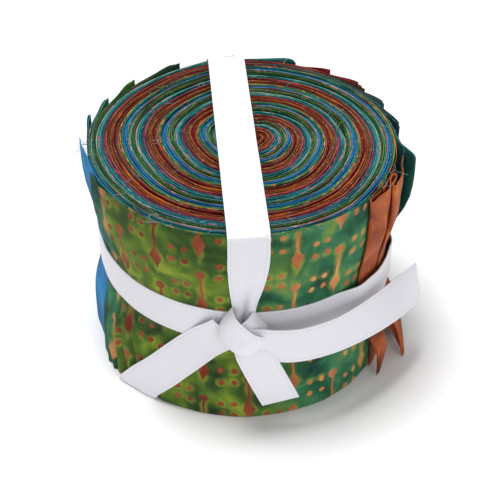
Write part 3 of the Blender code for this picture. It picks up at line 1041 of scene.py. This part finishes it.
FRONT_ROWS = [
    # middle x, height, width, how far the section folds in
    (1.5, 62.8, 10.6, 0.0),
    (1.5, 58.0, 10.6, 0.0),
    (1.35, 54.0, 10.4, 0.1),
    (1.1, 50.0, 9.6, 0.3),
    (0.8, 46.0, 8.5, 0.7),
    (0.5, 42.5, 7.2, 1.3),
    (0.3, 39.5, 6.2, 1.8),
    (0.1, 36.5, 5.6, 1.9),
    (0.0, 33.0, 5.4, 1.6),
]


def front_rows(surface):
    """Up the front from the knot to the rim, gathered towards the knot with a crease."""
    rows = []
    for i in range(45):
        x, z, width, fold = along(FRONT_ROWS[::-1], i / 44)
        near_knot = float(smooth((40.0 - z) / 6.0))
        base = surface.radius(270.0, z) + RIBBON_CLEAR + 0.2 + near_knot * 1.0
        row = []
        for place in np.linspace(-1.0, 1.0, RIBBON_POINTS):
            crease = fold * math.exp(-((place / 0.28) ** 2))
            swell = 0.5 * fold * (1 - place ** 2)
            row.append([x + place * width / 2, -(base + swell * 1.3 - crease * 0.9), z])
        rows.append(row)
    return rows


BACK_TOP = 62.6
BACK_BOTTOM = 0.9
BACK_TOP_ANGLE = 97.7


def back_rows(surface):
    """From the back rim down to the underside."""
    rows = []
    for i in range(46):
        z = BACK_TOP - i * (BACK_TOP - BACK_BOTTOM) / 45
        angle = BACK_TOP_ANGLE + (UNDER_BACK_ANGLE - BACK_TOP_ANGLE) * (1 - z / BACK_TOP)
        rows.append(lying_row(surface, angle, z, (-1.0, -0.1), RIBBON_CLEAR))
    return rows


CLIMB = [(226.5, 0.6), (231.0, 5.4), (237.5, 11.0), (246.0, 18.5), (255.0, 25.6), (264.0, 31.6)]


def climb_rows(surface):
    """From under the front left rim up to the knot."""
    rows = []
    steps = 40
    points = [(angle, z, 0.0) for angle, z in CLIMB]
    for i in range(steps + 1):
        share = i / steps
        angle, z, _ = along(points, share)
        ahead = along(points, min(share + 0.01, 1.0)) - along(points, max(share - 0.01, 0.0))
        arc = math.radians(ahead[0]) * COIL_RADIUS
        size = math.hypot(arc, ahead[1])
        level = float(smooth((6.0 - z) / 5.0))
        across = (-ahead[1] / size, arc / size)
        across = np.array(across) * (1 - level) + np.array((-1.25, 0.0)) * level
        off = RIBBON_CLEAR + 0.25 + 1.4 * float(smooth((z - 25.0) / 6.0))
        rows.append(lying_row(surface, angle, z, across, off)[::-1])
    return rows


def under_rows(surface):
    """Flat under the roll, turning at both ends to meet the lengths on its side."""
    start = np.array(on_rim(UNDER_BACK_ANGLE, surface.radius(UNDER_BACK_ANGLE, 0.0) + RIBBON_CLEAR))
    stop = np.array(on_rim(UNDER_FRONT_ANGLE, surface.radius(UNDER_FRONT_ANGLE, 0.0) + RIBBON_CLEAR))
    back_across = np.array(on_rim(UNDER_BACK_ANGLE - 90.0, 1.0))
    front_across = np.array(on_rim(UNDER_FRONT_ANGLE + 90.0, 1.0)) * 1.2
    run = stop - start
    straight = np.array((-run[1], run[0])) / np.linalg.norm(run)
    if np.dot(straight, back_across) < 0:
        straight = -straight
    rows = []
    for i in range(31):
        share = 0.012 + 0.976 * i / 30
        middle = start + run * share
        from_back = float(smooth(share / 0.2))
        to_front = float(smooth((share - 0.8) / 0.2))
        across = back_across * (1 - from_back) + straight * from_back * (1 - to_front)
        across = across + front_across * to_front
        height = RIBBON / 2 + 0.04
        row = []
        for place in np.linspace(-1.0, 1.0, RIBBON_POINTS):
            point = middle + across * place * RIBBON_WIDTH / 2
            row.append([point[0], point[1], height])
        rows.append(row)
    return rows


FREE_END = [
    ((0.0, -44.2, 31.4), (0.0, 0.0, 1.0), 7.0, 0.9),
    ((5.0, -45.2, 30.4), (0.0, 0.05, 1.0), 9.6, 0.6),
    ((10.0, -45.3, 29.6), (0.0, 0.08, 1.0), 10.4, 0.2),
    ((16.0, -44.0, 29.0), (0.0, 0.1, 1.0), 10.6, 0.0),
    ((24.0, -40.0, 28.4), (0.0, 0.2, 1.0), 10.6, 0.0),
    ((31.0, -34.8, 28.0), (-0.1, 0.3, 1.0), 10.6, 0.0),
    ((37.5, -28.4, 27.2), (-0.22, 0.4, 1.0), 10.6, 0.0),
    ((43.5, -20.8, 25.6), (-0.28, 0.45, 1.0), 10.6, 0.0),
    ((49.0, -12.8, 24.0), (-0.2, 0.35, 1.0), 10.6, 0.0),
]
SHORT_END = [
    ((0.5, -44.0, 31.0), (1.0, 0.0, 0.35), 6.5, 0.8),
    ((2.0, -45.6, 28.0), (1.0, 0.0, 0.35), 8.6, 0.5),
    ((3.7, -46.0, 25.0), (1.0, 0.0, 0.35), 10.0, 0.2),
    ((7.0, -45.9, 17.0), (1.0, 0.0, 0.35), 10.4, 0.0),
    ((10.0, -44.9, 9.0), (1.0, 0.0, 0.35), 10.4, 0.0),
]
KNOT_OVER = [
    ((-4.6, -41.4, 36.4), (0.5, 0.0, 0.9), 7.0, 0.2),
    ((-3.6, -45.0, 35.2), (0.55, 0.0, 0.85), 7.6, 0.7),
    ((0.2, -47.2, 32.4), (0.6, 0.0, 0.8), 8.0, 0.9),
    ((3.8, -45.2, 29.6), (0.55, 0.0, 0.85), 7.6, 0.7),
    ((4.6, -41.4, 28.4), (0.5, 0.0, 0.9), 7.0, 0.2),
]
KNOT_UNDER = [
    ((4.4, -41.2, 35.8), (-0.55, 0.0, 0.85), 6.6, 0.2),
    ((3.4, -44.2, 35.0), (-0.6, 0.0, 0.8), 7.4, 0.5),
    ((0.0, -45.6, 32.2), (-0.6, 0.0, 0.8), 8.2, 0.6),
    ((-3.6, -44.2, 29.4), (-0.6, 0.0, 0.8), 7.4, 0.5),
    ((-4.4, -41.2, 28.6), (-0.55, 0.0, 0.85), 6.6, 0.2),
]


def make_ribbon(surface):
    """The whole ribbon, each length going on from the last one's distance along it."""
    build = Build()
    parcel = front_rows(surface) + over_top_rows() + back_rows(surface)
    parcel += under_rows(surface) + climb_rows(surface)
    bands = [Band(parcel), ring_band(surface), station_band(FREE_END, 48)]
    bands += [station_band(stations, 24) for stations in (SHORT_END, KNOT_OVER, KNOT_UNDER)]
    travelled = 0.0
    for band in bands:
        travelled = add_band(build, band, travelled)
    made = make_object("satin_ribbon", build, white_satin())
    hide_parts("ribbon_tie")


# Where stray threads lie: angle, radius, height, spread of angle and radius, how many
THREADS = [
    (186.0, 42.9, 63.4, 3.0, 0.5, 9),
    (238.0, 42.2, 63.5, 7.0, 0.4, 7),
    (222.0, 41.0, 63.5, 10.0, 1.6, 4),
    (335.0, 41.4, 63.6, 5.0, 0.8, 6),
    (18.0, 27.0, 63.4, 10.0, 2.0, 7),
    (275.0, 42.2, 63.4, 30.0, 0.3, 5),
    (200.0, 30.0, 63.5, 60.0, 9.0, 6),
    (20.0, 34.0, 63.5, 60.0, 7.0, 6),
    (120.0, 30.0, 63.5, 50.0, 9.0, 5),
]
THREAD = 0.04
THREAD_STEP = 0.42
THREAD_APART = 10.0


def thread_path(source, angle, radius, height):
    """A short curling thread that starts at this place and stays near its height."""
    x, y = on_rim(angle, radius)
    point = np.array((x, y, height))
    heading = source.uniform(0, 2 * math.pi)
    curl = source.uniform(-0.5, 0.5)
    path = [point]
    for k in range(source.randint(5, 12)):
        heading += curl + source.uniform(-0.25, 0.25)
        lift = source.uniform(-0.09, 0.12)
        point = point + np.array((math.cos(heading), math.sin(heading), lift)) * THREAD_STEP
        path.append(point)
    return np.array(path)


def thread_steps(path):
    """The thread's square section at each point of its path."""
    run = np.gradient(path, axis=0)
    side = np.cross(run, (0.0, 0.0, 1.0))
    side = side / np.linalg.norm(side, axis=1, keepdims=True) * THREAD
    up = np.cross(side, run)
    up = up / np.linalg.norm(up, axis=1, keepdims=True) * THREAD
    left = np.stack([path - side - up, path - side + up], axis=1)
    right = np.stack([path + side - up, path + side + up], axis=1)
    return [([0, 1], left[i], right[i]) for i in range(len(path))]


def make_threads():
    source = np.random.RandomState(SEED + 50)
    build = Build()
    kind = 0
    for angle, radius, height, swing, reach, count in THREADS:
        for _ in range(count):
            here = angle + source.uniform(-swing, swing)
            out = radius + source.uniform(-reach, reach)
            path = thread_path(source, here, out, height + source.uniform(-0.1, 0.25))
            build.slab(thread_steps(path), np.array((0.0, 0.1)), THREAD_APART * kind)
            kind += 1
    make_object("stray_threads", build, thread_material())


def thread_material():
    made = Shading("stray threads", 0.8)
    vector, x, y = made.cloth()
    thread = made.math("FLOOR", made.over(x, THREAD_APART))
    colour = ramped(
        made, made.math("FRACT", made.times(thread, 0.618)),
        (0.0, (150, 170, 150)), (0.3, (50, 140, 150)), (0.55, (40, 120, 170)),
        (0.75, (130, 150, 60)), (0.9, (160, 100, 90)),
    )
    return made.finish(colour)


CAMERA_PLACE = (1.87, -281.5, 256.4)
CAMERA_DOWN = 38.596
CAMERA_LENS = 90.98
CAMERA_SHIFT = (-0.0009, -0.039)
WORLD_STRENGTH = 0.42
FLOOR_REACH = 3.0
LAMP_TARGET = (0.0, 0.0, 0.03)


def make_camera():
    camera = bpy.data.cameras.new("camera")
    camera.sensor_width = 36.0
    camera.lens = CAMERA_LENS
    camera.shift_x, camera.shift_y = CAMERA_SHIFT
    camera.clip_end = 20.0
    made = bpy.data.objects.new("camera", camera)
    bpy.context.scene.collection.objects.link(made)
    made.location = [value * MM for value in CAMERA_PLACE]
    made.rotation_euler = (math.radians(90.0 - CAMERA_DOWN), 0.0, 0.0)
    bpy.context.scene.camera = made


def area_light(name, location, size, power):
    """A round soft lamp that points at the roll."""
    lamp = bpy.data.lights.new(name, "AREA")
    lamp.shape = "DISK"
    lamp.size = size
    lamp.energy = power
    made = bpy.data.objects.new(name, lamp)
    bpy.context.scene.collection.objects.link(made)
    made.location = location
    direction = np.array(LAMP_TARGET) - np.array(location)
    tilt = math.atan2(math.hypot(direction[0], direction[1]), -direction[2])
    made.rotation_euler = (tilt, 0.0, math.atan2(direction[0], -direction[1]) + math.pi)


def make_stage():
    scene = bpy.context.scene
    world = bpy.data.worlds.new("studio")
    scene.world = world
    world.use_nodes = True
    background = world.node_tree.nodes["Background"]
    background.inputs["Color"].default_value = (1.0, 1.0, 1.0, 1.0)
    background.inputs["Strength"].default_value = WORLD_STRENGTH
    mesh = bpy.data.meshes.new("floor")
    corners = [(x * FLOOR_REACH, y * FLOOR_REACH, 0.0) for x, y in ((-1, -1), (1, -1), (1, 1), (-1, 1))]
    mesh.from_pydata(corners, [], [[0, 1, 2, 3]])
    floor = bpy.data.objects.new("floor", mesh)
    floor.location = (0.0, 0.0, -0.0001)
    mesh.materials.append(studio_floor())
    scene.collection.objects.link(floor)
    area_light("key", (-0.15, 0.1, 1.0), 0.4, 8.5)
    area_light("fill", (0.5, -0.9, 0.35), 0.5, 2.4)
    scene.view_settings.view_transform = "Standard"


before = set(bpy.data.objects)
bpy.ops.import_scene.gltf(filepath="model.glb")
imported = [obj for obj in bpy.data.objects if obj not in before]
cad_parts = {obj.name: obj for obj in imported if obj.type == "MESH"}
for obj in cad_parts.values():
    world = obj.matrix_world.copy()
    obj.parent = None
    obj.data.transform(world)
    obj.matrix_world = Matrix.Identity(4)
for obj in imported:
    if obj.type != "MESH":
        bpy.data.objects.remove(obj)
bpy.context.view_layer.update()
NODES = sorted(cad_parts)
make_ribbon(make_strips())
make_threads()
make_stage()
make_camera()
